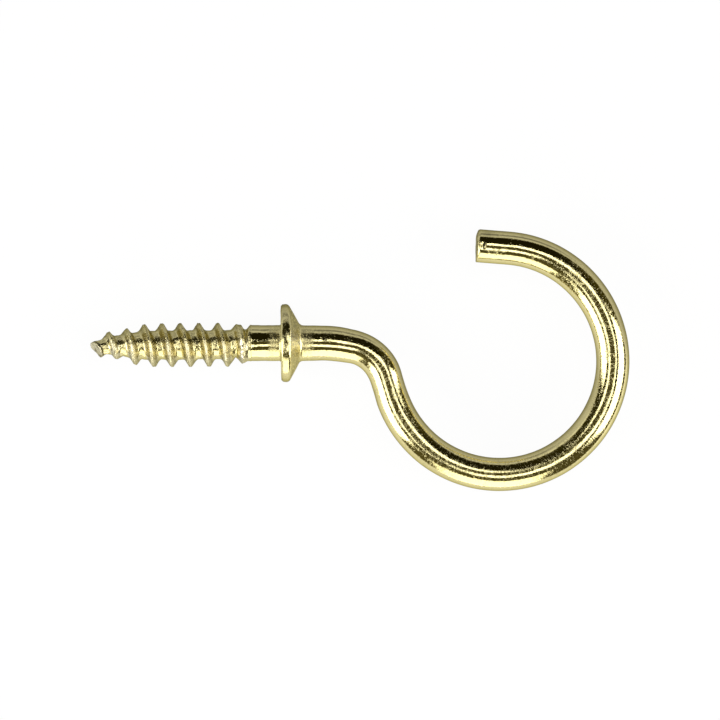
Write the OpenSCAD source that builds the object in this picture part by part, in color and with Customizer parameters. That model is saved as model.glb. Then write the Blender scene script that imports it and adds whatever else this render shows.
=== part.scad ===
// Shouldered cup hook, headed, thread-rolled and bent from one length of wire.
// It lies on its side: +X runs from the point of the screw to the far side of
// the loop, the bends lie in the XY plane, and X = 0 is the collar's bearing
// face, the face that closes on the wood.

/* [Wire] */
// Diameter of the wire in the tight bend, the loop and the free end
wire_d = 3.1; // [2.6:0.05:3.2]
// Diameter of the wire in the easy bend behind the collar
neck_d = 3.25; // [3.15:0.05:3.4]
// Diameter of the plain shank in front of the collar
shank_d = 3.35; // [3.2:0.05:3.9]
// Diameter where the link between bend and loop has thinned under the former
link_d = 2.95; // [2.6:0.05:3.05]
// Bevel that the cut leaves round the free end
end_bevel = 0.12; // [0.05:0.01:0.4]
// Angle by which the cut leans from square, with its upper side further back
cut_slant = 7.5; // [0:0.5:20]

/* [Collar] */
// Diameter of the collar
collar_d = 7.3; // [6.2:0.05:10]
// Width of the rim, from the bearing face to the start of the coned back
rim_w = 0.7; // [0.6:0.05:1.6]
// Depth of the coned back, from the rim to the wire
cone_w = 1.1; // [0.7:0.05:1.6]
// Round on the front edge of the rim
front_round = 0.2; // [0.1:0.01:0.3]
// Round on the back edge of the rim
back_round = 0.4; // [0.1:0.01:0.5]
// Fillet between the bearing face and the shank
front_fillet = 0.18; // [0.1:0.01:0.3]
// Fillet between the coned back and the wire
back_fillet = 0.5; // [0.2:0.05:0.8]

/* [Screw] */
// Length of the screw, from the bearing face to the point
screw_l = 17.8; // [14:0.1:24]
// Plain shank between the bearing face and the thread
plain_l = 2.9; // [2.4:0.1:5]
// Distance from one thread to the next, 15 to the inch
pitch = 1.69; // [1.4:0.01:2]
// Diameter at the root of the thread
root_d = 2.7; // [2.2:0.05:3]
// Height of the thread above its root
thread_h = 0.7; // [0.4:0.05:0.8]
// Width of the land on top of the thread
crest_w = 0.2; // [0.16:0.01:0.3]
// Angle between the thread's two flanks
thread_angle = 60; // [50:1:65]
// Length over which the core tapers to the point
point_l = 5.3; // [4:0.1:8]
// Diameter of the core at its blunt point
point_d = 0.8; // [0.6:0.05:1.4]
// Length over which the thread grows from the point to its full height
grow_l = 6.4; // [3:0.1:9]
// Length over which the thread fades towards the plain shank
fade_l = 1.8; // [1:0.1:3]
// Length of the slope from the plain shank down to the root
step_l = 0.5; // [0.3:0.05:1]
// How much lower that slope starts on one side of the screw than on the other
step_lag = 0.65; // [0:0.05:1]

/* [Hook] */
// Distance from the bearing face to the easy bend
neck_x = 3.85; // [3:0.05:8]
// Centreline radius of the easy bend
ease_r = 11.35; // [6:0.05:20]
// Turn of the easy bend
ease_turn = 10.5; // [5:0.5:25]
// Straight wire between the bends, where it narrows
narrow_l = 0.7; // [0.3:0.1:2]
// Centreline radius of the tight bend
neck_r = 4.1; // [3.5:0.1:8]
// Turn of the tight bend
neck_turn = 62.5; // [45:0.5:68]
// Straight link between the tight bend and the loop
link_l = 1.7; // [0.5:0.05:4]
// Inside diameter of the loop
loop_id = 18.05; // [14:0.05:30]
// Turn of the loop
loop_turn = 248.5; // [180:0.5:255]
// Straight wire at the free end
tip_l = 2.9; // [1:0.1:4]

/* [Hidden] */
$fn = 96;

brass = [0.79, 0.72, 0.42];
shank_r = shank_d / 2;
neck_wire_r = neck_d / 2;
wire_r = wire_d / 2;
link_r = link_d / 2;
collar_r = collar_d / 2;
collar_w = rim_w + cone_w;
loop_r = loop_id / 2 + wire_r;
arc_steps = 6;        // chords in each round of the collar's outline

lap = 0.02;           // how far each straight piece reaches into the bend beside it
lap_gap = 0.005;      // how much thinner than the bend it is there, on the radius

thread_l = screw_l - plain_l;
thread_steps = 36;    // facets round one turn of the thread
crest_round = 0.07;   // round where each flank meets the land
root_round = 0.2;     // fillet where each flank meets the root
round_steps = 2;      // chords in each of those rounds
seat_gap = 0.02;      // how much smaller than the shank the thread's first ring is
first_h = 0.55;       // height of the thread beside the shank, as a share of thread_h
last_h = 0.45;        // height of the thread at the point, as a share of thread_h
clip_z = 0.03 * pitch; // knots this near to an end of the thread move onto it

function lerp(a, b, t) = a + (b - a) * t;

// Corner b of the path a, b, c, replaced by an arc of radius r in n chords.
function corner(a, b, c, r, n) =
    let (
        u = (a - b) / norm(a - b),
        v = (c - b) / norm(c - b),
        half = acos(u * v) / 2,
        centre = b + (u + v) / norm(u + v) * r / sin(half),
        spoke = b + u * r / tan(half) - centre,
        side = u[0] * v[1] - u[1] * v[0] > 0 ? -1 : 1,
        sweep = side * (180 - 2 * half)
    )
    [for (k = [0 : n])
        let (t = sweep * k / n)
        centre + [spoke[0] * cos(t) - spoke[1] * sin(t),
                  spoke[0] * sin(t) + spoke[1] * cos(t)]];

// Turns an outline of [radius, distance] points about the X axis.
module turned(outline) {
    rotate([0, 90, 0])
        rotate_extrude()
            polygon(outline);
}

// The end of a straight piece: it steps in and reaches into the bend.
function lapped(r, x) = [[r - lap_gap, x], [r - lap_gap, x + lap], [0, x + lap]];
function lapped_start(r) = [[0, -lap], [r - lap_gap, -lap], [r - lap_gap, 0]];

// The headed middle of the hook: plain shank, collar and the neck behind it.
module middle() {
    shank_end = [shank_r, -plain_l];
    foot = [shank_r, 0];
    front = [collar_r, 0];
    back = [collar_r, rim_w];
    heel = [shank_r, collar_w];
    neck = [neck_wire_r, neck_x];
    turned(concat(
        [[0, -plain_l], shank_end],
        corner(shank_end, foot, front, front_fillet, arc_steps),
        corner(foot, front, back, front_round, arc_steps),
        corner(front, back, heel, back_round, arc_steps),
        corner(back, heel, neck, back_fillet, arc_steps),
        lapped(neck_wire_r, neck_x)
    ));
}

// One pitch of the thread as [share of the pitch, share of the height],
// from the start of one root fillet to the end of the next.
function thread_outline() =
    let (
        flank_w = thread_h * tan(thread_angle / 2),
        mid = pitch / 2,
        rise = [mid - crest_w / 2 - flank_w, 0],
        land = [mid - crest_w / 2, thread_h],
        drop = [mid + crest_w / 2, thread_h],
        fall = [mid + crest_w / 2 + flank_w, 0],
        outline = concat(
            corner([0, 0], rise, land, root_round, round_steps),
            corner(rise, land, drop, crest_round, round_steps),
            corner(land, drop, fall, crest_round, round_steps),
            corner(drop, fall, [pitch, 0], root_round, round_steps)
        )
    )
    [for (p = outline) [p[0] / pitch, p[1] / thread_h]];

// Root radius at depth z below the plain shank: straight, then an ogive point.
function root_r(z) =
    lerp(point_d / 2, root_d / 2, sin(90 * min(1, (thread_l - z) / point_l)));

// Height of the ridge at depth z. It runs out to nothing over the last half turn.
function ridge_h(z) =
    thread_h
    * min(1, lerp(first_h, 1, z / fade_l))
    * min(1, lerp(last_h, 1, (thread_l - z) / grow_l))
    * min(1, (thread_l - z) / (0.5 * pitch));

// Radius of the slope that ends the plain shank. It starts later on the -Y side.
function slope_r(z, angle) =
    let (start = step_lag * (1 - sin(angle)) / 2)
    lerp(shank_r - seat_gap, root_d / 2, max(0, z - start) / step_l);

function skin_r(z, angle, height) =
    max(root_r(z) + ridge_h(z) * height, slope_r(z, angle));

// The rolled thread and its core, as one closed skin that follows the helix.
// Its axis is +Z, and its first ring, at z = 0, seats on the shank's end face.
// Column i stands at angle 360 * i / thread_steps and holds the knots j down
// the screw. The last column meets the first one a whole pitch further down,
// which closes the helix.
module thread() {
    outline = thread_outline();
    knots = len(outline);
    n = thread_steps;
    rows = knots * ceil(thread_l / pitch + 3);
    depth = function (i, j)
        pitch * (floor(j / knots) - 2 + outline[j % knots][0] + i / n);
    point = function (i, z, height)
        let (angle = 360 * i / n, r = skin_r(z, angle, height))
        [r * cos(angle), r * sin(angle), z];
    points = concat(
        [for (i = [0 : n - 1])
            [(shank_r - seat_gap) * cos(360 * i / n),
             (shank_r - seat_gap) * sin(360 * i / n), 0]],
        [for (i = [0 : n - 1]) point(i, thread_l, 0)],
        [for (i = [0 : n - 1], j = [0 : rows - 1])
            point(i, max(0, min(thread_l, depth(i, j))), outline[j % knots][1])]
    );
    // A knot past either end of the thread becomes that end's ring.
    knot = function (i, j)
        i == n ? knot(0, j + knots)
        : depth(i, j) < clip_z ? i
        : depth(i, j) > thread_l - clip_z ? n + i
        : 2 * n + i * rows + j;
    skin = [
        for (i = [0 : n - 1], j = [0 : rows - 2])
            let (
                a = knot(i, j),
                b = knot(i + 1, j),
                c = knot(i + 1, j + 1),
                d = knot(i, j + 1)
            )
            each [[a, c, b], [a, d, c]]
    ];
    polyhedron(
        points,
        concat(
            [for (f = skin)
                if (f[0] != f[1] && f[1] != f[2] && f[2] != f[0]) f],
            [[for (i = [0 : n - 1]) i], [for (i = [n - 1 : -1 : 0]) n + i]]
        )
    );
}

module screw() {
    translate([-plain_l, 0, 0])
        rotate([0, -90, 0])
            thread();
}

// The bent wire is a chain: each step starts at the origin heading along +X,
// and its children start where it ends. A positive turn is to the left.
module bend(d, radius, turn) {
    centre = [0, sign(turn) * radius, 0];
    translate(centre)
        rotate([0, 0, turn > 0 ? -90 : 90 + turn])
            rotate_extrude(angle = abs(turn))
                translate([radius, 0])
                    circle(d = d);
    translate(centre)
        rotate([0, 0, turn])
            translate(-centre)
                children();
}

// A straight piece between two bends, narrowing or widening between its ends.
module straight(length, from_r, via, to_r) {
    turned(concat(lapped_start(from_r), via, lapped(to_r, length)));
    translate([length, 0, 0])
        children();
}

// The free end, sheared off at a slant. Its centre line is tip_l long.
module free_end() {
    reach = wire_r * tan(cut_slant);
    difference() {
        turned(concat(
            lapped_start(wire_r),
            [[wire_r - lap_gap, tip_l + reach - end_bevel],
             [wire_r - end_bevel, tip_l + reach],
             [0, tip_l + reach]]
        ));
        translate([tip_l, -wire_d, 0])
            rotate([0, -cut_slant, 0])
                translate([0, 0, -wire_d])
                    cube([wire_d, 2 * wire_d, 2 * wire_d]);
    }
}

module hook() {
    waist = [[link_r, link_l / 3], [link_r, link_l * 2 / 3]];
    translate([neck_x, 0, 0])
        bend(neck_d, ease_r, -ease_turn)
            straight(narrow_l, neck_wire_r, [], wire_r)
                bend(wire_d, neck_r, -neck_turn)
                    straight(link_l, wire_r, waist, wire_r)
                        bend(wire_d, loop_r, loop_turn)
                            free_end();
}

module cup_hook() {
    color(brass) {
        middle();
        screw();
        hook();
    }
}

cup_hook();
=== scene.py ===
"""Shouldered cup hook in brass-plated steel wire, lying on a white table.

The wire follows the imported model: X = 0 is the collar's bearing face, the
screw points along -X and the bends lie in the XY plane. The shapes are worked
out in millimetres; properties and the stage are in metres.
"""

import math

import bpy
import numpy as np
from bpy.props import FloatProperty, FloatVectorProperty, PointerProperty
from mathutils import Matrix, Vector


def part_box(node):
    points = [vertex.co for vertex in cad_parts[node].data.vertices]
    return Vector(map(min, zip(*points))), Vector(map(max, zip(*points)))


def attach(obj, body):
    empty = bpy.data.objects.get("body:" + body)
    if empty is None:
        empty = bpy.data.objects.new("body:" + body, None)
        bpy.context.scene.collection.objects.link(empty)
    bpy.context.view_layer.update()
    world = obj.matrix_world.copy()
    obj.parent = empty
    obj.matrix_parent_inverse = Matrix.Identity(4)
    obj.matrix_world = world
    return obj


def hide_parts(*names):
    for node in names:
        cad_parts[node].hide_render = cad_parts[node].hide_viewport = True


bl_info = {
    "name": "Cup Hook",
    "version": (1, 0, 0),
    "blender": (4, 5, 0),
    "location": "View3D > Sidebar > Cup Hook",
    "description": "Builds a shouldered cup hook from one bent wire, with its stage",
    "category": "Add Mesh",
}

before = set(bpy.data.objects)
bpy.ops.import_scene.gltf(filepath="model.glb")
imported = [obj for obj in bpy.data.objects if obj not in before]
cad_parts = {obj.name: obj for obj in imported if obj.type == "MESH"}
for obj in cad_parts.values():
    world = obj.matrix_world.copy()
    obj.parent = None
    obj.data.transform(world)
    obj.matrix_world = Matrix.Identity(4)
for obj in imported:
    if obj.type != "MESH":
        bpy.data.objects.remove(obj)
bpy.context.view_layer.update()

MM = 0.001
NODE = "cup_hook"
AROUND = 96  # vertices round the wire
SAME_PLACE = 2e-5  # vertices this near to each other, in millimetres, are one


# --------------------------------------------------------------------------
# Sizes and colours a user would change


def length(name, description, value, low=0.0):
    """A length property, given in millimetres and kept in metres."""
    return FloatProperty(
        name=name,
        description=description,
        default=value * MM,
        min=low,
        precision=5,
        unit="LENGTH",
    )


def share(name, description, value, top=1.0):
    """A plain number from 0 to top."""
    return FloatProperty(
        name=name, description=description, default=value, min=0.0, max=top
    )


def turn(name, description, degrees):
    """An angle property, given in degrees and kept in radians."""
    return FloatProperty(
        name=name,
        description=description,
        default=math.radians(degrees),
        unit="ROTATION",
    )


def colour(name, description, value):
    """A linear colour property."""
    return FloatVectorProperty(
        name=name,
        description=description,
        default=value,
        min=0.0,
        max=1.0,
        size=3,
        subtype="COLOR",
    )


class WireSizes(bpy.types.PropertyGroup):
    """The bent wire behind the collar."""

    shank_d: length("Shank", "Diameter of the plain shank", 3.35)
    neck_d: length("Neck", "Diameter of the wire behind the collar", 3.25)
    wire_d: length("Wire", "Diameter of the wire in the loop", 3.1)
    link_d: length("Link", "Diameter where the link has thinned", 2.95)
    neck_x: length("Neck length", "From the bearing face to the easy bend", 3.85)
    ease_r: length("Easy bend", "Centreline radius of the easy bend", 11.35)
    ease_turn: turn("Easy turn", "Turn of the easy bend", 10.5)
    narrow_l: length("Narrowing", "Straight wire between the two bends", 0.7)
    neck_r: length("Tight bend", "Centreline radius of the tight bend", 4.1)
    neck_turn: turn("Tight turn", "Turn of the tight bend", 62.5)
    link_l: length("Link length", "Straight link before the loop", 1.7)
    loop_id: length("Loop", "Inside diameter of the loop", 18.05)
    loop_turn: turn("Loop turn", "Turn of the loop", 248.5)
    tip_l: length("Free end", "Straight wire at the free end", 2.9)
    cut_slant: turn("Cut slant", "How far the cut leans from square", 7.5)
    cut_skew: turn("Cut skew", "How far the cut turns in the plane of the loop", 3.7)


class CollarSizes(bpy.types.PropertyGroup):
    """The headed collar."""

    collar_d: length("Collar", "Diameter of the collar", 7.3)
    rim_w: length("Rim", "Width of the rim", 0.7)
    cone_w: length("Cone", "Depth of the coned back", 1.1)
    front_round: length("Front round", "Round on the rim's front edge", 0.2)
    back_round: length("Back round", "Round on the rim's back edge", 0.4)
    front_fillet: length("Front fillet", "Fillet between face and shank", 0.18)
    back_fillet: length("Back fillet", "Fillet between cone and wire", 0.5)
    lean: turn("Lean", "How far the header left the collar out of square", 0.7)
    swell: length("Swell", "How much wider the rim is on its upper side", 0.2)


class ScrewSizes(bpy.types.PropertyGroup):
    """The rolled thread."""

    screw_l: length("Screw", "From the bearing face to the point", 17.8)
    plain_l: length("Plain shank", "From the bearing face to the thread", 2.75)
    pitch: length("Pitch", "From one thread to the next", 1.69)
    root_d: length("Root", "Diameter at the root of the thread", 2.7)
    thread_h: length("Thread", "Height of the thread above its root", 0.7)
    crest_w: length("Crest", "Width of the land on top of the thread", 0.2)
    seam: length("Seam", "Depth of the seam that rolling leaves in the crest", 0.07)
    point_l: length("Point", "Length of the tapering core", 5.3)
    point_d: length("Blunt end", "Diameter of the core at its point", 0.9)
    grow_l: length("Growth", "Length over which the thread grows", 6.4)
    step_lag: length("Lag", "How much later the shank ends on its lower side", 0.68)
    drift: length("Drift", "How far the thread runs off the shank's axis", 0.14)
    droop: length("Droop", "How much further off the axis the point is", 0.09)


class HookFinish(bpy.types.PropertyGroup):
    """The brass plate."""

    plate: colour("Plate", "Colour of the bright plate", (0.79, 0.7, 0.345))
    # This colour is a painted sheen: a paler plate that stands in for lighter
    # reflections on the thread's lower flanks, along the cone's top and on the torn
    # point.
    pale: colour("Pale", "Colour of the plate where it is palest", (0.7, 0.69, 0.7))
    stain: colour("Stain", "Colour where the plate has dulled", (0.3, 0.275, 0.16))
    # This colour serves grime in a stain and in streaks on the cut, and painted shade
    # in the thread's roots and seam, the nick, the punch mark and along the cone's top;
    # it also darkens the crack.
    soil: colour("Soil", "Colour of the dirt in seams and pits", (0.06, 0.05, 0.02))
    edge: colour("Edge", "Tint of the plate at a glancing angle", (0.62, 0.59, 0.36))
    rough: share("Roughness", "Roughness of the bright plate", 0.03)
    grain: share("Grain", "How grainy the rolled and headed parts are", 1.0, 4.0)
    ripple: share("Ripple", "How uneven the drawn wire is", 1.0, 4.0)


class StageLook(bpy.types.PropertyGroup):
    """Table, lamps and camera."""

    table: colour("Table", "Colour of the table", (0.9, 0.9, 0.9))
    side_light: share("Side boxes", "Brightness of the two side boxes", 3.0, 20.0)
    front_light: share("Front box", "Brightness of the front box", 1.8, 20.0)
    top_light: share("Top boxes", "Brightness of the boxes overhead", 2.7, 20.0)
    sweep: share("Sweep", "Brightness of the white sweep", 1.0, 4.0)
    room: colour("Room", "Colour of the dark room above", (1.0, 0.84, 0.15))
    field: length("Field", "Width that the camera takes in", 67.2)
    camera_h: length("Camera", "Height of the camera", 900.0)
    aim_x: length("Aim along", "Where the camera aims, along the screw", 7.37)
    aim_y: length("Aim across", "Where the camera aims, across it", -1.58, low=-1.0)


GROUPS = {
    "cup_hook_wire": WireSizes,
    "cup_hook_collar": CollarSizes,
    "cup_hook_screw": ScrewSizes,
    "cup_hook_finish": HookFinish,
    "cup_hook_stage": StageLook,
}


# --------------------------------------------------------------------------
# Shapes, worked out in millimetres


def millimetres(group):
    """The group's lengths in millimetres and its angles in radians."""
    sizes = {}
    for name, prop in group.bl_rna.properties.items():
        if prop.type != "FLOAT" or prop.is_array:
            continue
        value = getattr(group, name)
        sizes[name] = value / MM if prop.unit == "LENGTH" else value
    return sizes


def smooth(x, low, high):
    """0 below low, 1 above high, and an even ramp between them."""
    t = np.clip((x - low) / (high - low), 0.0, 1.0)
    return t * t * (3.0 - 2.0 * t)


def bump(x, at, width):
    """A bell of height 1."""
    return np.exp(-(((x - at) / width) ** 2))


def soft_floor(x, k):
    """x where positive and 0 where negative, rounded over 2k."""
    return np.where(x < -k, 0.0, np.where(x > k, x, (x + k) ** 2 / (4.0 * k)))


def lattice(x, y, z, seed):
    """A fixed random number from -1 to 1 for each whole-numbered place.

    The large numbers only scramble the place's bits.
    """
    n = x * 73856093 ^ y * 19349663 ^ z * 83492791 ^ seed * 2654435
    n = (n ^ (n >> 13)) * 1274126177 & 0x7FFFFFFF
    n = (n ^ (n >> 15)) * 668265263 & 0x7FFFFFFF
    return ((n ^ (n >> 16)) & 0xFFFF) / 32767.5 - 1.0


def lumps(points, grain, seed):
    """Smooth unevenness from -1 to 1, with lumps about `grain` across."""
    p = points / grain
    cell = np.floor(p).astype(np.int64)
    f = p - cell
    f = f * f * f * (f * (f * 6.0 - 15.0) + 10.0)
    total = np.zeros(len(points))
    for corner in range(8):
        dx, dy, dz = corner & 1, corner >> 1 & 1, corner >> 2
        weight = (
            (f[:, 0] if dx else 1.0 - f[:, 0])
            * (f[:, 1] if dy else 1.0 - f[:, 1])
            * (f[:, 2] if dz else 1.0 - f[:, 2])
        )
        total += weight * lattice(
            cell[:, 0] + dx, cell[:, 1] + dy, cell[:, 2] + dz, seed
        )
    return total


def rounded(a, b, c, radius, chords):
    """Corner b of the path a, b, c as an arc of so many chords."""
    a, b, c = (np.array(p, float) for p in (a, b, c))
    u = (a - b) / np.linalg.norm(a - b)
    v = (c - b) / np.linalg.norm(c - b)
    half = math.acos(float(u @ v)) / 2.0
    middle = b + (u + v) / np.linalg.norm(u + v) * radius / math.sin(half)
    spoke = b + u * radius / math.tan(half) - middle
    side = -1.0 if u[0] * v[1] - u[1] * v[0] > 0 else 1.0
    sweep = side * (math.pi - 2.0 * half)
    turned = []
    for k in range(chords + 1):
        t = sweep * k / chords
        turned.append(
            middle
            + [
                spoke[0] * math.cos(t) - spoke[1] * math.sin(t),
                spoke[0] * math.sin(t) + spoke[1] * math.cos(t),
            ]
        )
    return turned


def filled(path, step):
    """The path with points added so that none are further apart than step."""
    out = [np.array(path[0], float)]
    for point in path[1:]:
        point = np.array(point, float)
        n = max(1, math.ceil(np.linalg.norm(point - out[-1]) / step))
        start = out[-1]
        out += [start + (point - start) * k / n for k in range(1, n + 1)]
    return out


# Millimetres from one ring to the next: in the collar, along the wire and close
# to its free end, and where that finer part and the cut's edge begin.
COLLAR_STEP, WIRE_STEP, END_STEP = 0.1, 0.13, 0.05
FINE_FROM, EDGE_FROM = 1.2, 0.25
# Rings on the cut: millimetres inside its edge, then shares of its radius.
EDGE_RINGS = (0.0, 0.003, 0.012, 0.03, 0.055, 0.09, 0.13, 0.17, 0.22)
CUT_RINGS = (0.9, 0.8, 0.68, 0.56, 0.44, 0.32, 0.2, 0.09)
THINNING = 0.9  # millimetres either side over which the wire changes thickness
BURR_TO = -0.3  # the burr of the thread's step reaches no further than here
# The angles of a ring's vertices, from +Y towards +Z: down from the top over +Y.
RING = np.pi / 2 - 2.0 * np.pi * np.arange(AROUND) / AROUND


def middle_rows(wire, collar, screw):
    """(distance, radius) rows of the shank, collar and neck."""
    shank_r, neck_r = wire["shank_d"] / 2, wire["neck_d"] / 2
    rim_r = collar["collar_d"] / 2
    start = [0.05 - screw["plain_l"], shank_r]
    foot, front = [0.0, shank_r], [0.0, rim_r]
    back = [collar["rim_w"], rim_r]
    heel = [collar["rim_w"] + collar["cone_w"], shank_r]
    neck = [wire["neck_x"], neck_r]
    # The numbers at the end are the chords of each rounded corner.
    path = [
        start,
        *rounded(start, foot, front, collar["front_fillet"], 6),
        *rounded(foot, front, back, collar["front_round"], 7),
        *rounded(front, back, heel, collar["back_round"], 8),
        *rounded(back, heel, neck, collar["back_fillet"], 7),
        neck,
    ]
    return filled(path, COLLAR_STEP)


class Bends:
    """The centreline behind the collar, as a chain of straights and arcs."""

    def __init__(self, wire):
        loop_r = (wire["loop_id"] + wire["wire_d"]) / 2
        steps = [
            (wire["ease_r"] * wire["ease_turn"], -wire["ease_turn"]),
            (wire["narrow_l"], 0.0),
            (wire["neck_r"] * wire["neck_turn"], -wire["neck_turn"]),
            (wire["link_l"], 0.0),
            (loop_r * wire["loop_turn"], wire["loop_turn"]),
            (wire["tip_l"], 0.0),
        ]
        # Where each run starts: distance, x, y, heading and turn to a millimetre.
        self.starts = [(wire["neck_x"], wire["neck_x"], 0.0, 0.0, 0.0)]
        for run, swing in steps:
            s, x, y, heading, _ = self.starts[-1]
            self.starts[-1] = (s, x, y, heading, swing / run)
            self.starts.append((s + run, *self.step(x, y, heading, swing, run), 0.0))
        self.marks = [start[0] for start in self.starts]
        self.end = self.marks[-1]
        self.wire = wire

    @staticmethod
    def step(x, y, heading, swing, run):
        """Where a run of that length and turn ends, and its heading there."""
        if abs(swing) < 1e-9:
            return x + run * math.cos(heading), y + run * math.sin(heading), heading
        radius = run / swing
        after = heading + swing
        return (
            x + radius * (math.sin(after) - math.sin(heading)),
            y - radius * (math.cos(after) - math.cos(heading)),
            after,
        )

    def at(self, s):
        """(x, y, heading) at the distance s along the wire."""
        if s <= self.marks[0]:
            return s, 0.0, 0.0
        begin = next(b for b in reversed(self.starts[:-1]) if s >= b[0])
        run = s - begin[0]
        return self.step(*begin[1:4], begin[4] * run, run)

    def radius(self, s):
        """The wire's radius at the distance s."""
        _, narrow, bend, link, loop = self.marks[:5]
        link_l = self.wire["link_l"]
        places, names = zip(
            (narrow, "neck_d"),
            (bend, "wire_d"),
            (link, "wire_d"),
            (link + link_l / 3, "link_d"),
            (link + link_l * 2 / 3, "link_d"),
            (loop, "wire_d"),
            strict=True,
        )
        sizes = [self.wire[name] for name in names]
        nearby = s + np.linspace(-THINNING, THINNING, 13)
        return float(np.interp(nearby, places, sizes).mean()) / 2


def hook_rows(wire):
    """(distance, radius) rows of the wire behind the neck, cut end included."""
    bends = Bends(wire)
    rows = []
    s = wire["neck_x"] + WIRE_STEP
    while s < bends.end - EDGE_FROM:
        rows.append([s, bends.radius(s)])
        s += WIRE_STEP if s < bends.end - FINE_FROM else END_STEP
    r = bends.radius(bends.end)
    rows += [[bends.end, r - inside] for inside in EDGE_RINGS]
    rows += [[bends.end, r * share_of] for share_of in CUT_RINGS]
    return bends, rows


FLANK = math.radians(30)  # how far each side of the thread leans
# Millimetres of finer knots: either side of the thread's foot, beside its land.
NEAR_FOOT, NEAR_LAND = 0.18, 0.05
HELIX_FROM = 2.9  # millimetres from the collar's face to the helix's start
THREAD_TURNS = 9.0
FIRST_CREST, MORE_CREST = 1.86, 0.5  # radius of the first, and room for the others
TIP_GRAIN, TIP_PAINTED_SHEEN = 0.9, 0.5  # grain of the torn point, and its painted sheen: a painted highlight on its face
POINT_RINGS = (1.0, 0.94, 0.6, 0.3)  # rings on the point, as shares of its radius


def thread_knots(screw):
    """One pitch of the thread: place from its middle, share of height, painted shade.
    """
    half = screw["pitch"] / 2
    top = screw["crest_w"] / 2
    foot = top + screw["thread_h"] * math.tan(FLANK)
    side = np.concatenate(
        [
            np.linspace(half, foot + NEAR_FOOT, 3)[:-1],
            np.linspace(foot + NEAR_FOOT, foot - NEAR_FOOT, 9)[:-1],
            np.linspace(foot - NEAR_FOOT, top + NEAR_LAND, 4)[:-1],
            np.linspace(top + NEAR_LAND, 0.0, 7),
        ]
    )
    u = np.concatenate([-side, side[-2:0:-1]])
    rise = (foot - np.abs(u)) / (foot - top)
    # A hollow foot, and edges of the land that are rounded over.
    h = soft_floor(rise, 0.42)
    h = 1.0 - soft_floor(1.0 - h, 0.06)
    # Painted shade low on each flank, near the thread's foot.
    soil = 0.35 * bump(np.abs(u), foot - 0.16, 0.07)
    return u, h, soil


# The ridge's height and the core's swell, as shares of the whole, at shares of
# the lengths over which they grow from the point on.
GROWTH_AT = [0.0, 0.15, 0.28, 0.41, 0.55, 0.67, 0.94]
GROWTH = [0.0, 0.5, 0.7, 0.5, 0.8, 0.9, 1.0]
CORE_AT = [0.0, 0.09, 0.25, 0.53, 0.81, 1.05]
CORE = [0.0, 0.12, 0.36, 0.58, 0.85, 1.0]


def screw_skin(wire, screw, x, angle, height, seat):
    """Radius of the threaded part at x, for a share of the thread's height.

    Angles are measured from +Y towards +Z.
    """
    z = -seat - x
    left = screw["screw_l"] - seat - z
    core_r, tip_r = screw["root_d"] / 2, screw["point_d"] / 2
    core = tip_r + (core_r - tip_r) * np.interp(left / screw["point_l"], CORE_AT, CORE)
    low = (1.0 - np.cos(angle)) / 2.0
    # Behind the first crest the core is pinched on its lower side.
    core = core - 0.22 * bump(x, -4.1, 0.28) * low
    # The thread starts tall at the point, sinks where the core swells fast,
    # then grows to its full height. It rises out of the shank over one turn.
    tall = np.interp(left / screw["grow_l"], GROWTH_AT, GROWTH)
    ridge = screw["thread_h"] * tall * (0.4 + 0.6 * smooth(z, 0.1, 1.5))
    # The shank ends in a ragged, slanted step with a burr on it.
    ragged = 0.04 * np.sin(5.0 * angle + 1.0) + 0.03 * np.sin(11.0 * angle)
    start = -seat - 0.12 - screw["step_lag"] * low + ragged * (0.3 + low)
    burr = 0.05 + 0.1 * low**2
    shank_r = wire["shank_d"] / 2
    past = start - x
    shoulder = np.where(
        past > 0.0,
        shank_r + burr - 1.05 * past,
        shank_r + burr * np.exp(np.minimum(past, 0.0) / 0.12),
    )
    return np.maximum(core + ridge * height, shoulder)


def screw_axis(screw, x, seat):
    """Where the thread's axis lies along Y at x. It drifts and nods towards -Y."""
    off = smooth(-x, seat + 0.1, seat + 1.1) * screw["drift"]
    along = np.clip((-x - seat) / (screw["screw_l"] - seat), 0.0, 1.0)
    left = screw["screw_l"] + x
    nod = 0.24 * np.clip(1.0 - left / 2.2, 0.0, 1.0) ** 1.6
    return -(off + screw["droop"] * along + nod)


def sheared(points, tip):
    """The blunt end torn off at a slant, with a nick just behind the torn face.

    Gives the moved points, and how far each of them had stood beyond the face.
    """
    facing = np.array([-0.743, -0.516, 0.42])
    facing = facing / np.linalg.norm(facing)
    beyond = (points - [0.5 - tip, -0.345, 0.35]) @ facing
    cut = points - facing * np.maximum(beyond, 0.0)[:, None]
    torn = lumps(cut, 0.36, 8) * smooth(beyond, 0.0, 0.08)
    cut += facing * (0.035 * torn)[:, None]
    nick = 0.06 * bump(beyond, -0.17, 0.06) * (points[:, 2] > 0.0)
    cut[:, 2] -= nick
    return cut, beyond


class Skin:
    """Vertices and faces of the hook, gathered part by part.

    Each vertex carries its place on the straight wire before bending (drawn),
    how grainy it is, how much grime and painted shade it has, and its painted
    sheen.
    """

    def __init__(self):
        self.parts = []
        self.faces = []
        self.count = 0

    def add(self, points, drawn, grain, soil=0.0, pale=0.0):
        """Adds vertices and returns the index of the first."""
        first = self.count
        shares = [np.broadcast_to(share, len(points)) for share in (grain, soil, pale)]
        self.parts.append((points, drawn, *shares))
        self.count += len(points)
        return first

    def rings(self, first, rows):
        """Joins rings of AROUND vertices, each to the next."""
        i = np.arange(AROUND)
        j = (i + 1) % AROUND
        for row in range(rows - 1):
            a, b = first + row * AROUND, first + (row + 1) * AROUND
            self.faces.append(np.stack([a + i, b + i, b + j, a + j], 1))

    def arrays(self):
        """Points, drawn, grain, grime and shade, and sheen of each vertex; then faces.
        """
        parts = [np.concatenate(part) for part in zip(*self.parts, strict=True)]
        return *parts, np.concatenate(self.faces)


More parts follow.
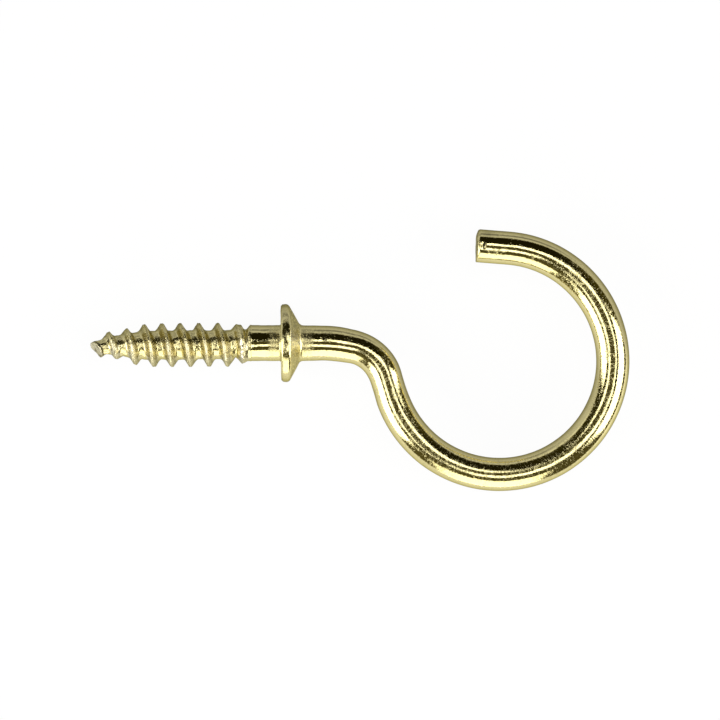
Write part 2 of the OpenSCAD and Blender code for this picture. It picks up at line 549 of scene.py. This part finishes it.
def thread_sheet(screw):
    """The thread as columns round the wire and rows along the helix.

    Gives every vertex its depth below the seat, angle, share of the thread's
    height, place across the thread, share of the seam and painted shade.
    """
    pitch, seat = screw["pitch"], screw["plain_l"]
    across, heights, root_shades = thread_knots(screw)
    shares = across / pitch + 0.5
    knots = len(shares)
    rows = knots * math.ceil((screw["screw_l"] - seat) / pitch + 3)
    j = np.arange(rows)[None, :]
    i = np.arange(AROUND + 1)[:, None]
    # The columns run from the top over +Y, and the crest moves along with them.
    depth = pitch * (j // knots - 2 + shares[j % knots] + i / AROUND)
    depth += HELIX_FROM - seat
    phi = np.broadcast_to(np.pi / 2 - 2.0 * np.pi * i / AROUND, depth.shape)
    height, u, soil = (
        np.broadcast_to(knot[j % knots], depth.shape)
        for knot in (heights, across, root_shades)
    )
    turns = depth / pitch
    # The first crest is broad. The seam wanders along the crest.
    height = height ** (1.0 - 0.5 * bump(turns, 0.9, 0.4))
    along = (j // knots + i / AROUND) * 2.0 * np.pi
    seam_at = 0.05 + 0.04 * np.sin(0.37 * along + 1.0)
    seam = bump(u, seam_at, 0.035) * (0.75 + 0.25 * np.sin(1.7 * along))
    seam = seam * (1.0 + 0.8 * bump(turns, 8.0, 0.8))
    height = height - screw["seam"] / screw["thread_h"] * seam
    # A rolled helix isn't even: some parts of it lie a little further on.
    upper = (1.0 + np.cos(phi)) / 2.0
    bow = np.sin(np.pi * np.clip(turns, 0.0, THREAD_TURNS) / THREAD_TURNS)
    for shift in (
        0.14 * upper * bow,
        0.02 * np.sin(turns * 5.1 + phi),
        -0.26 * upper * bump(turns, 0.8, 0.5),
        0.08 * smooth(turns, 2.5, 4.5),
        0.1 * (1.0 - upper) * bump(turns, 6.9, 0.9),
        -0.17 * np.clip(np.sin(phi), 0.0, 1.0) ** 2,
    ):
        depth = depth + shift
    depth = np.clip(depth, 0.0, screw["screw_l"] - seat)
    return depth, phi, height, u, seam, soil


def add_screw(skin, wire, screw):
    """The rolled thread as one sheet that follows the helix."""
    seat, tip = screw["plain_l"], screw["screw_l"]
    depth, phi, height, u, seam, soil = thread_sheet(screw)
    rows = depth.shape[1]
    x = -seat - depth
    radius, bare, full = (
        screw_skin(wire, screw, x, phi, share_of, seat)
        for share_of in (height, np.zeros_like(height), np.ones_like(height))
    )
    ridge_share = (full - bare) / screw["thread_h"]
    # The first crest was rolled lower than the others.
    cap = FIRST_CREST + MORE_CREST * (1.0 - bump(depth, 1.1, 0.8))
    radius = cap - soft_floor(cap - radius, 0.06)
    inside = ((depth > 1e-6) & (depth < tip - seat - 1e-6)).ravel()
    x, phi, radius, height, u = (part.ravel() for part in (x, phi, radius, height, u))
    flat = np.stack([x, radius * np.cos(phi), radius * np.sin(phi)], 1)
    # Lumpy roots and crests, torn metal where the thread starts, and a rough tip.
    torn = bump(x, -seat - 1.0, 0.9)
    near_tip = smooth(-x, tip - 2.6, tip - 0.4)
    rough = 0.0
    for size, seed, tall, where in (
        (0.55, 3, 0.03, 1.0),
        (0.27, 4, 0.022, 1.0),
        (0.16, 7, 0.012, 1.0),
        (0.33, 5, 0.06, torn),
        (0.4, 6, 0.07, near_tip),
    ):
        rough = rough + lumps(flat, size, seed) * tall * where
    swell = np.where(inside, 1.0 + rough / np.maximum(radius, 0.3), 1.0)
    points = flat.copy()
    points[:, 1] = flat[:, 1] * swell + screw_axis(screw, x, seat)
    points[:, 2] = flat[:, 2] * swell
    points, beyond = sheared(points, tip)
    on_cut = beyond > 0.0
    crack = bump(points[:, 0], 1.7 - tip, 0.07) * bump(points[:, 1], 0.15, 0.32)
    crack = crack * (points[:, 2] > 0.2)
    points[:, 2] -= 0.08 * crack
    # Painted shade lies in the seam and the nick, the crack is darkened too, and
    # grime lies in streaks on the cut.
    dirt_and_groove_shade = np.maximum(crack, bump(beyond, -0.17, 0.06) * (points[:, 2] > 0.1))
    streaks = 0.7 * on_cut * smooth(lumps(points, 0.3, 9), 0.1, 0.7)
    soil = np.maximum(soil, 0.5 * seam).ravel()
    # The painted shade in the roots and seam shows only where the thread stands tall.
    soil = soil * smooth(ridge_share.ravel(), 0.1, 0.5)
    soil = np.maximum(soil, np.maximum(1.6 * dirt_and_groove_shade, streaks))
    grain = np.where(on_cut, TIP_GRAIN, 0.75 + 0.25 * height)
    # Painted sheen: the flanks are paler on their lower side and towards the collar,
    # standing in for lighter, less golden reflections there.
    lower = 1.0 - smooth(flat[:, 1], -0.2, 0.9)
    flank = smooth(height, 0.0, 0.3)
    pale = flank * (0.26 + 0.33 * smooth(u, 0.05, 0.25)) * lower
    # The torn face gets a stronger painted sheen, a painted highlight.
    pale = np.where(on_cut, TIP_PAINTED_SHEEN, pale)
    first = skin.add(points, flat, grain, soil, pale)
    # The last column lies on the first one, a whole pitch further down; both
    # are merged later by distance, and so are the knots past either end.
    a = first + np.arange(AROUND)[:, None] * rows + np.arange(rows - 1)[None, :]
    b = a + rows
    skin.faces.append(np.stack([a, b, b + 1, a + 1], -1).reshape(-1, 4))
    add_point(skin, screw)


def add_point(skin, screw):
    """The blunt end, closed by rings that run the other way round."""
    tip = screw["screw_l"]
    angle = np.pi / 2 + 2.0 * np.pi * np.arange(AROUND) / AROUND
    r = screw["point_d"] / 2
    flat = np.concatenate(
        [
            np.stack(
                [
                    np.full(AROUND, -tip),
                    r * k * np.cos(angle),
                    r * k * np.sin(angle),
                ],
                1,
            )
            for k in POINT_RINGS
        ]
    )
    points = flat.copy()
    points[:, 1] += screw_axis(screw, flat[:, 0], screw["plain_l"])
    points, _ = sheared(points, tip)
    first = skin.add(points, flat, TIP_GRAIN, pale=TIP_PAINTED_SHEEN)
    skin.rings(first, len(POINT_RINGS))
    middle = points[-AROUND:].mean(0)[None]
    hub = skin.add(middle, flat[-1:] * [1, 0, 0], TIP_GRAIN, pale=TIP_PAINTED_SHEEN)
    close_disc(skin, first + (len(POINT_RINGS) - 1) * AROUND, hub)


def close_disc(skin, ring, hub):
    """A fan from the last ring to its hub, as quads in which the hub counts twice."""
    i = np.arange(AROUND)
    j = (i + 1) % AROUND
    skin.faces.append(
        np.stack([ring + i, np.full(AROUND, hub), np.full(AROUND, hub), ring + j], 1)
    )


def ring_points(x, y, heading, radius):
    """A ring square to the wire at that place."""
    return np.stack(
        [
            x - math.sin(heading) * np.cos(RING) * radius,
            y + math.cos(heading) * np.cos(RING) * radius,
            np.sin(RING) * radius,
        ],
        1,
    )


def collar_ring(wire, collar, screw, s, r):
    """A ring of the shank, collar or neck: points, drawn, grain, painted shade and
    sheen.
    """
    seat, rim_w = screw["plain_l"], collar["rim_w"]
    rim_r, shank_r = collar["collar_d"] / 2, wire["shank_d"] / 2
    radius = np.full(AROUND, r)
    if s < BURR_TO:
        radius = np.maximum(
            radius, screw_skin(wire, screw, np.full(AROUND, s), RING, 0.0, seat)
        )
    flat = ring_points(s, 0.0, 0.0, radius)
    proud = np.clip((radius - shank_r) / (rim_r - shank_r), 0.0, 1.0)
    lean = -math.tan(collar["lean"]) * flat[:, 1] * proud
    top = np.clip(np.sin(RING), 0.0, 1.0)
    swell = collar["swell"] * top * proud * smooth(s, 0.2, rim_w)
    points = flat.copy()
    points[:, 0] += lean + swell
    # Polished next to the thread, scuffed up to the collar, grainy rim and cone.
    grain = 0.1 + 0.75 * float(smooth(s, -1.5, -0.9))
    grain -= 0.4 * float(smooth(s, -0.1, 0.1))
    grain += 1.1 * float(smooth(s, rim_w - 0.1, rim_w + 0.2))
    grain += 0.2 * bump(s, rim_w / 2, rim_w / 2)
    grain -= 0.65 * float(smooth(s, 1.5, 2.1)) + 0.75 * float(smooth(s, 2.4, 3.7))
    # Along its top the cone has a painted sheen and a little painted shade, which
    # tone down the bright reflection there.
    coned = float(smooth(s, rim_w, rim_w + 0.1)) * (1.0 - float(smooth(s, 1.7, 1.9)))
    pale = coned * bump(np.cos(RING), 0.0, 0.26) * (np.sin(RING) > 0.0)
    return points, flat, np.full(AROUND, grain), 0.25 * pale, pale


def bent_ring(wire, bends, s, r):
    """A ring behind the neck: points, drawn, grain, grime and shade, and sheen."""
    x, y, heading = bends.at(min(s, bends.end))
    radius = np.full(AROUND, r)
    flat = ring_points(s, 0.0, 0.0, radius)
    placed = ring_points(x, y, heading, radius)
    on_cut = s >= bends.end - 1e-6
    near_end = float(smooth(s, bends.end - 0.9, bends.end))
    # The cropped edge is rounded over, least where the cutter left it.
    corner = 0.05 + 0.17 * (1.0 - smooth(flat[:, 1], 0.6, 1.4))
    depth = np.clip(1.0 - (bends.radius(bends.end) - r) / corner, 0.0, 1.0)
    worn = corner * (1.0 - np.sqrt(1.0 - depth**2)) * on_cut
    # The upper part of the cut rolled over as the wire was cropped.
    slant = -near_end * (
        math.tan(wire["cut_slant"]) * soft_floor(flat[:, 2], 0.3)
        + math.tan(wire["cut_skew"]) * flat[:, 1]
        - 0.15
    )
    slant -= worn + 0.2 * near_end * smooth(-flat[:, 1], 0.75, 1.6)
    placed[:, 0] += slant * math.cos(heading)
    placed[:, 1] += slant * math.sin(heading)
    # A stain close to the free end, and painted shade in the punch mark there.
    stain = bump(bends.end - s, 0.9, 0.6) * bump(flat[:, 1], -1.15, 0.25)
    mark_shade = bump(bends.end - s, 0.6, 0.15) * bump(flat[:, 1], -0.14, 0.19)
    soil = (0.45 * stain + 1.8 * mark_shade) * (flat[:, 2] > 0.0)
    return placed, flat, np.full(AROUND, 0.15 + 0.5 * on_cut), soil, np.zeros(AROUND)


def add_wire(skin, wire, collar, screw):
    """Shank, collar, neck and bends, as rings along the centreline."""
    bends, tail = hook_rows(wire)
    seat = screw["plain_l"]
    radius = screw_skin(wire, screw, np.full(AROUND, -seat), RING, 0.0, seat)
    seam_ring = ring_points(-seat, 0.0, 0.0, radius)
    clean = np.zeros(AROUND)
    rings = [(seam_ring, seam_ring, np.full(AROUND, 0.7), clean, clean)]
    rings += [
        collar_ring(wire, collar, screw, s, r)
        for s, r in middle_rows(wire, collar, screw)
    ]
    rings += [bent_ring(wire, bends, s, r) for s, r in tail]
    first = skin.add(*(np.concatenate(part) for part in zip(*rings, strict=True)))
    skin.rings(first, len(rings))
    x, y, _ = bends.at(bends.end)
    hub = skin.add(np.array([[x, y, 0.0]]), np.array([[bends.end, 0.0, 0.0]]), 0.65)
    close_disc(skin, first + (len(rings) - 1) * AROUND, hub)
    return bends


def uneven(drawn, bends):
    """How far the finished surface stands off the true form, in millimetres."""
    s = drawn[:, 0]
    behind = smooth(s, 2.0, 4.5)
    stretched = drawn * [0.28, 1.0, 1.0]
    off = 0.006 * lumps(stretched, 1.1, 11) * behind
    off += 0.003 * lumps(drawn * [0.6, 1.0, 1.0], 0.6, 12) * behind
    off += 0.0012 * lumps(drawn, 0.33, 16) * behind
    headed = smooth(s, -2.6, -2.2) * (1.0 - behind)
    off += headed * (0.012 * lumps(drawn, 0.8, 13) + 0.006 * lumps(drawn, 0.4, 14))
    # The header left the rim slightly crowned.
    rim = smooth(np.hypot(drawn[:, 1], drawn[:, 2]), 3.4, 3.62)
    off -= rim * 0.25 * (s - 0.55) ** 2
    # A small punch mark and a scored ring just behind the cut end.
    back = bends.end - s
    across, up = drawn[:, 1], drawn[:, 2]
    steep = np.where(back > 0.62, 0.1, 0.22)
    mark = bump((back - 0.62) / steep, 0.0, 1.0) * bump(across, -0.06, 0.26)
    off -= 0.045 * mark * (up > 0)
    off -= 0.012 * bump(back, 0.5, 0.05) * (up > 0)
    cut = (back < 0.004) & (np.hypot(across, up) < 1.5)
    off += np.where(cut, 0.03 * lumps(drawn + [0, 3, 7], 0.45, 15), 0.0)
    return off


def build_hook_mesh(wire, collar, screw):
    """The whole hook as one closed mesh."""
    skin = Skin()
    add_screw(skin, wire, screw)
    bends = add_wire(skin, wire, collar, screw)
    points, drawn, grain, soil, pale, faces = skin.arrays()
    # Vertices that lie in the same place become one.
    keys = np.round(points / SAME_PLACE).astype(np.int64)
    _, keep, link = np.unique(keys, axis=0, return_index=True, return_inverse=True)
    faces = link.reshape(-1)[faces]
    points, drawn, grain, soil, pale = (
        part[keep] for part in (points, drawn, grain, soil, pale)
    )
    # So do corners of a face, and a face with fewer than three left is dropped.
    rings = []
    for face in faces:
        corners = [int(v) for n, v in enumerate(face) if v != face[n - 1]]
        if len(corners) >= 3 and len(set(corners)) == len(corners):
            rings.append(corners)
    mesh = bpy.data.meshes.new(NODE)
    mesh.from_pydata((points * MM).tolist(), [], rings)
    mesh.validate()
    mesh.update()
    normals = np.zeros(len(points) * 3, np.float32)
    mesh.vertex_normals.foreach_get("vector", normals)
    normals = normals.reshape(-1, 3)
    points = points + normals * uneven(drawn, bends)[:, None]
    mesh.vertices.foreach_set("co", (points * MM).astype(np.float32).ravel())
    mesh.shade_smooth()
    attribute = mesh.attributes.new("drawn", "FLOAT_VECTOR", "POINT")
    attribute.data.foreach_set("vector", drawn.astype(np.float32).ravel())
    for name, values in (("grain", grain), ("soil", soil), ("pale", pale)):
        attribute = mesh.attributes.new(name, "FLOAT", "POINT")
        attribute.data.foreach_set("value", values.astype(np.float32))
    mesh.update()
    return mesh


# --------------------------------------------------------------------------
# Materials


RELIEF = 0.00002  # metres that a relief of 1 stands off the plate
TABLE_GLOW = 0.94  # how much of the table, as the camera sees it, just glows
WHITE, CREAM, AMBER = (1.0, 1.0, 1.0), (1.0, 0.99, 0.9), (1.0, 0.85, 0.27)


class Value:
    """A socket in a material. Arithmetic on it adds the Math nodes."""

    def __init__(self, paint, socket):
        self.paint = paint
        self.socket = socket

    def maths(self, operation, *terms):
        """A Math node over the terms."""
        return self.paint.node("ShaderNodeMath", {"operation": operation}, *terms)

    def __add__(self, other):
        return self.maths("ADD", self, other)

    def __sub__(self, other):
        return self.maths("SUBTRACT", self, other)

    def __rsub__(self, other):
        return self.maths("SUBTRACT", other, self)

    def __mul__(self, other):
        return self.maths("MULTIPLY", self, other)

    def __pow__(self, other):
        return self.maths("POWER", self, other)

    def larger(self, other):
        """The larger of the two."""
        return self.maths("MAXIMUM", self, other)

    def size(self):
        """The value without its sign."""
        return self.maths("ABSOLUTE", self)

    def ramp(self, low, high):
        """0 at low, 1 at high, eased between them and held outside."""
        return self.paint.node(
            "ShaderNodeMapRange",
            {"interpolation_type": "SMOOTHSTEP", "clamp": True},
            self,
            low,
            high,
            0.0,
            1.0,
        )


class Paint:
    """The node tree of one material or of the world."""

    def __init__(self, owner):
        owner.use_nodes = True
        self.tree = owner.node_tree
        self.tree.nodes.clear()

    def node(self, kind, settings, *values, output=0, **named):
        """Adds a node: its settings first, then its sockets by place or name."""
        made = self.tree.nodes.new(kind)
        for name, value in settings.items():
            setattr(made, name, value)
        for place, value in [*enumerate(values), *named.items()]:
            if isinstance(place, str):
                place = place.replace("_", " ")
            socket = made.inputs[place]
            if isinstance(value, Value):
                self.tree.links.new(value.socket, socket)
            else:
                socket.default_value = value
        return Value(self, made.outputs[output]) if made.outputs else None

    def mix(self, share, first, second):
        """A colour between first and second."""
        made = self.tree.nodes.new("ShaderNodeMix")
        made.data_type = "RGBA"
        for socket, value in zip((0, 6, 7), (share, first, second), strict=True):
            if isinstance(value, Value):
                self.tree.links.new(value.socket, made.inputs[socket])
            elif socket == 0:
                made.inputs[socket].default_value = value
            else:
                made.inputs[socket].default_value = (*value[:3], 1.0)
        return Value(self, made.outputs[2])

    def attribute(self, name, output="Fac"):
        """What the mesh carries under that name."""
        return self.node("ShaderNodeAttribute", {"attribute_name": name}, output=output)

    def seen_by_camera(self):
        """1 for what the camera sees straight, and 0 for everything else."""
        return self.node("ShaderNodeLightPath", {}, output="Is Camera Ray")

    def split(self, vector):
        """The x, y and z of a vector."""
        made = self.tree.nodes.new("ShaderNodeSeparateXYZ")
        self.tree.links.new(vector.socket, made.inputs[0])
        return [Value(self, socket) for socket in made.outputs]

    def scaled(self, vector, by):
        """A vector stretched along its axes."""
        return self.node("ShaderNodeVectorMath", {"operation": "MULTIPLY"}, vector, by)

    def noise(self, vector, scale, detail, roughness):
        """Cloudy noise from 0 to 1."""
        return self.node(
            "ShaderNodeTexNoise",
            {},
            Vector=vector,
            Scale=scale,
            Detail=detail,
            Roughness=roughness,
        )


def brass_plate(finish):
    """Bright brass plate over drawn steel wire."""
    material = bpy.data.materials.new("brass_plate")
    paint = Paint(material)
    drawn = paint.attribute("drawn", "Vector")
    grain = paint.attribute("grain")
    # Unevenness of the plate: an orange peel, finer grain, die lines and pits.
    peel = paint.noise(drawn, 2.6, 2.0, 0.55)
    sand = paint.noise(drawn, 7.5, 3.0, 0.6)
    lines = paint.noise(paint.scaled(drawn, (0.05, 1.0, 1.0)), 7.0, 3.0, 0.6)
    pits = paint.noise(drawn, 5.0, 1.0, 0.5).ramp(0.66, 0.8)
    cloud = paint.noise(drawn, 0.55, 3.0, 0.6)
    scuffed = cloud.ramp(0.52, 0.66) * 0.6
    worked = (grain * finish.grain).larger(scuffed)
    specks = paint.noise(drawn, 6.5, 2.0, 0.6).ramp(0.5, 0.7)
    # Fine marks round the wire, left by the bending rolls.
    marks = paint.noise(paint.scaled(drawn, (1.0, 0.33, 0.33)), 8.5, 2.0, 0.75)
    # They run round the loop and are strongest in one spot near its end.
    along = paint.node("ShaderNodeSeparateXYZ", {}, drawn)
    bent = along.ramp(4.0, 10.0) * (1.0 - along.ramp(50.0, 57.0))
    bent = (bent + (1.0 - (along - 51.8).size().ramp(0.3, 1.6))) * finish.ripple
    relief = (
        peel * (finish.ripple * 0.17)
        + lines * (finish.ripple * 0.05)
        + specks * (finish.ripple * 0.07)
        + marks * bent * 0.3
        + sand * worked * 0.8
        - pits * worked * 1.4
    )
    normal = paint.node(
        "ShaderNodeBump", {}, Strength=1.0, Distance=RELIEF, Height=relief
    )
    dull = paint.noise(drawn, 1.6, 4.0, 0.65).ramp(0.5, 0.75)
    dirt_and_shade_mask = paint.attribute("soil")
    stained = dull * (worked * 0.4 + 0.1) + pits * worked * 0.4
    stained = stained + lines.ramp(0.45, 0.75) * 0.12 + marks.ramp(0.45, 0.7) * 0.12
    # The plate turns paler where the mesh carries painted sheen.
    bright = paint.mix(paint.attribute("pale"), finish.plate, finish.pale)
    tone = paint.mix(stained, bright, finish.stain)
    # Grime and painted shade darken it where the mesh carries them.
    tone = paint.mix(dirt_and_shade_mask * (sand * 0.8 + 0.5), tone, finish.soil)
    roughness = (
        specks * (worked * 0.3 + 0.02)
        + marks.ramp(0.48, 0.7) * bent * 0.3
        + sand * worked * 0.2
        + grain.ramp(0.45, 0.95) * 0.1
        + dull * 0.04
        + finish.rough
    )
    shader = paint.node(
        "ShaderNodeBsdfPrincipled",
        {},
        Base_Color=tone,
        Metallic=1.0,
        Roughness=roughness,
        Specular_Tint=(*finish.edge, 1.0),
        Normal=normal,
    )
    paint.node("ShaderNodeOutputMaterial", {}, Surface=shader)
    return material


def table_finish(look):
    """A white table that keeps a light shadow."""
    material = bpy.data.materials.new("table")
    paint = Paint(material)
    camera = paint.seen_by_camera()
    cloth = paint.node(
        "ShaderNodeBsdfDiffuse", {}, Color=(*look.table, 1.0), Roughness=0.0
    )
    white = paint.node("ShaderNodeEmission", {}, Color=(*WHITE, 1.0), Strength=1.0)
    shown = paint.node("ShaderNodeMixShader", {}, camera * TABLE_GLOW, cloth, white)
    paint.node("ShaderNodeOutputMaterial", {}, Surface=shown)
    return material


# --------------------------------------------------------------------------
# Stage


HOOK_MIDDLE = Vector((0.007, -0.002, 0.0))
LAMP_FAR = 0.5  # metres from there to each soft box at the sides
WATTS = 4.0  # of a soft box, for a square metre at level 1
TABLE_HALF = 1.5  # half the table's width, in metres
TABLE_GAP = 0.00003  # metres between the table and the collar's rim
BOX_UP, LENS_UP = 0.6, 0.58  # heights of the boxes overhead and of the lens
LENS_GLOW = 0.07  # the lens is nearly black
SENSOR = 36.0  # the camera's, in millimetres
# Corners of the two boxes overhead, and the lens's outline, a slanted ellipse.
TOP_RIGHT = [(-0.05, -0.26), (0.31, -0.25), (0.335, 0.28), (0.025, 0.24)]
TOP_LEFT = [(-0.335, -0.17), (-0.12, -0.195), (-0.145, 0.155), (-0.3, 0.15)]
LENS_SHADE = [
    (
        0.03 + 0.2 * math.cos(k * math.pi / 24) - 0.015 * math.sin(k * math.pi / 24),
        0.028 * math.cos(k * math.pi / 24) + 0.11 * math.sin(k * math.pi / 24),
    )
    for k in range(48)
]


def stage_lamp(name, azimuth, tilt, width, height, level, tint):
    """A soft box that faces the hook, from `tilt` degrees off straight up."""
    data = bpy.data.lights.new(name, "AREA")
    data.shape = "RECTANGLE"
    data.size, data.size_y = width, height
    data.energy = WATTS * width * height * level
    data.color = tint
    lamp = bpy.data.objects.new(name, data)
    a, t = math.radians(azimuth), math.radians(tilt)
    away = Vector((math.sin(t) * math.cos(a), math.sin(t) * math.sin(a), math.cos(t)))
    lamp.location = HOOK_MIDDLE + away * LAMP_FAR
    lamp.rotation_mode = "QUATERNION"
    lamp.rotation_quaternion = (-away).to_track_quat("-Z", "Y")
    lamp.visible_camera = False
    bpy.context.collection.objects.link(lamp)


def sheet_mesh(name, corners, up=0.0):
    """A level sheet over the corners."""
    mesh = bpy.data.meshes.new(name)
    face = tuple(range(len(corners)))
    mesh.from_pydata([(x, y, up) for x, y in corners], [], [face])
    return mesh


def glowing_sheet(name, corners, up, level, tint):
    """A level sheet at height `up` that glows and that the camera doesn't see."""
    mesh = sheet_mesh(name, corners)
    sheet = bpy.data.objects.new(name, mesh)
    sheet.location = (0.0, 0.0, up)
    bpy.context.collection.objects.link(sheet)
    material = bpy.data.materials.new(name)
    paint = Paint(material)
    glow = paint.node("ShaderNodeEmission", {}, Color=(*tint, 1.0), Strength=level)
    paint.node("ShaderNodeOutputMaterial", {}, Surface=glow)
    mesh.materials.append(material)
    sheet.visible_camera = False
    return sheet


def studio_world(look):
    """A white sweep that rises behind the hook, and a dark room above it."""
    world = bpy.data.worlds.new("studio")
    bpy.context.scene.world = world
    paint = Paint(world)
    x, y, z = paint.split(paint.node("ShaderNodeTexCoord", {}, output="Generated"))
    # The sweep's rim climbs towards the back and dips a little at the right.
    steep = y.larger(0.0) ** 3.0
    lift = steep + (y.ramp(0.0, 0.6) - steep) * (1.0 - x.ramp(-0.6, 0.1))
    rise = lift * 0.42 - x.ramp(0.2, 0.6) * (1.0 - y.ramp(0.0, 0.26)) * 0.2
    wall = 1.0 - (z - rise).ramp(-0.04, 0.04)
    back = y.ramp(-0.35, 0.3)
    # The sweep is dimmer behind the hook, in the shade under the wire and along
    # its far edge, and brighter at the top of its left half and low at the right.
    under = (-0.2 - z).larger(0.0)
    far = y.ramp(0.7, 0.97) * (1.0 - (z + 0.06).size().ramp(0.05, 0.2))
    lit = back * (1.0 - x.ramp(-0.7, 0.2)) * z.ramp(0.12, 0.35)
    front = 1.0 - y.ramp(-0.55, -0.1)
    under = under * (0.42 - front * 0.2)
    sweep = 1.0 - back * 0.38 - under - far * 0.4 + lit * 0.3
    low = x.ramp(0.5, 0.85) * (1.0 - y.ramp(-0.1, 0.25))
    sweep = sweep + low * (1.0 - (z + 0.3).size().ramp(0.05, 0.25)) * 0.4
    # The dark room shows between the boxes, lighter towards the front.
    left = 1.0 - x.ramp(-0.6, 0.1)
    right = x.ramp(0.45, 0.75) * y.ramp(0.1, 0.3)
    room = front * 0.07 + left * 0.02 + right * 0.04 + 0.012
    level = sweep * look.sweep * wall + room * (1.0 - wall)
    shade = paint.mix(wall.larger(front * 0.18), look.room, WHITE)
    # The camera itself sees plain white.
    camera = paint.seen_by_camera()
    level = level * (1.0 - camera) + camera
    seen = paint.mix(camera, shade, WHITE)
    shader = paint.node("ShaderNodeBackground", {}, Color=seen, Strength=level)
    paint.node("ShaderNodeOutputWorld", {}, Surface=shader)


# --------------------------------------------------------------------------
# Operators and panel


class CUP_HOOK_OT_add_hook(bpy.types.Operator):
    """Build the hook: rolled screw, headed collar and bent wire in one piece."""

    bl_idname = "cup_hook.add_hook"
    bl_label = "Add Hook"

    def execute(self, context):
        scene = context.scene
        wire = millimetres(scene.cup_hook_wire)
        collar = millimetres(scene.cup_hook_collar)
        screw = millimetres(scene.cup_hook_screw)
        mesh = build_hook_mesh(wire, collar, screw)
        hook = bpy.data.objects.new("hook", mesh)
        context.collection.objects.link(hook)
        mesh.materials.append(brass_plate(scene.cup_hook_finish))
        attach(hook, "root")
        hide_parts(NODE)
        return {"FINISHED"}


class CUP_HOOK_OT_set_stage(bpy.types.Operator):
    """Set the table, the soft boxes, the white sweep and the camera."""

    bl_idname = "cup_hook.set_stage"
    bl_label = "Set Stage"

    def execute(self, context):
        scene = context.scene
        look = scene.cup_hook_stage
        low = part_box(NODE)[0].z - TABLE_GAP
        half = TABLE_HALF
        corners = [(-half, -half), (half, -half), (half, half), (-half, half)]
        mesh = sheet_mesh("table", corners, low)
        table = bpy.data.objects.new("table", mesh)
        context.collection.objects.link(table)
        mesh.materials.append(table_finish(look))
        table.visible_glossy = False

        stage_lamp("box_right", -9, 63, 0.45, 0.37, look.side_light, WHITE)
        stage_lamp("box_left", 196, 65, 0.42, 0.41, look.side_light, WHITE)
        stage_lamp("box_front", -93, 72, 0.45, 0.43, look.front_light, CREAM)
        glowing_sheet("top_right", TOP_RIGHT, BOX_UP, look.top_light, WHITE)
        glowing_sheet("top_left", TOP_LEFT, BOX_UP, look.top_light, WHITE)

        # The lens above the hook shows in the metal as a dark spot.
        shade = glowing_sheet("lens_shade", LENS_SHADE, LENS_UP, LENS_GLOW, AMBER)
        shade.visible_shadow = False
        shade.visible_diffuse = False

        studio_world(look)
        data = bpy.data.cameras.new("camera")
        data.sensor_width = SENSOR
        data.lens = SENSOR * look.camera_h / look.field
        data.clip_start, data.clip_end = 0.05, 10.0
        camera = bpy.data.objects.new("camera", data)
        camera.location = (look.aim_x, look.aim_y, look.camera_h)
        context.collection.objects.link(camera)
        scene.camera = camera
        scene.view_settings.view_transform = "Standard"
        return {"FINISHED"}


class VIEW3D_PT_cup_hook(bpy.types.Panel):
    """Sizes and finish of the cup hook."""

    bl_idname = "VIEW3D_PT_cup_hook"
    bl_label = "Cup Hook"
    bl_space_type = "VIEW_3D"
    bl_region_type = "UI"
    bl_category = "Cup Hook"

    def draw(self, context):
        column = self.layout.column()
        column.operator("cup_hook.add_hook")
        column.operator("cup_hook.set_stage")
        for name, group in GROUPS.items():
            owner = getattr(context.scene, name)
            box = column.box()
            for key in group.__annotations__:
                box.prop(owner, key)


CLASSES = (
    *GROUPS.values(),
    CUP_HOOK_OT_add_hook,
    CUP_HOOK_OT_set_stage,
    VIEW3D_PT_cup_hook,
)


def register():
    for cls in CLASSES:
        bpy.utils.register_class(cls)
    for name, group in GROUPS.items():
        setattr(bpy.types.Scene, name, PointerProperty(type=group))


def unregister():
    for name in GROUPS:
        delattr(bpy.types.Scene, name)
    for cls in reversed(CLASSES):
        bpy.utils.unregister_class(cls)


def main():
    register()
    bpy.ops.cup_hook.add_hook()
    bpy.ops.cup_hook.set_stage()


if __name__ == "__main__":
    main()
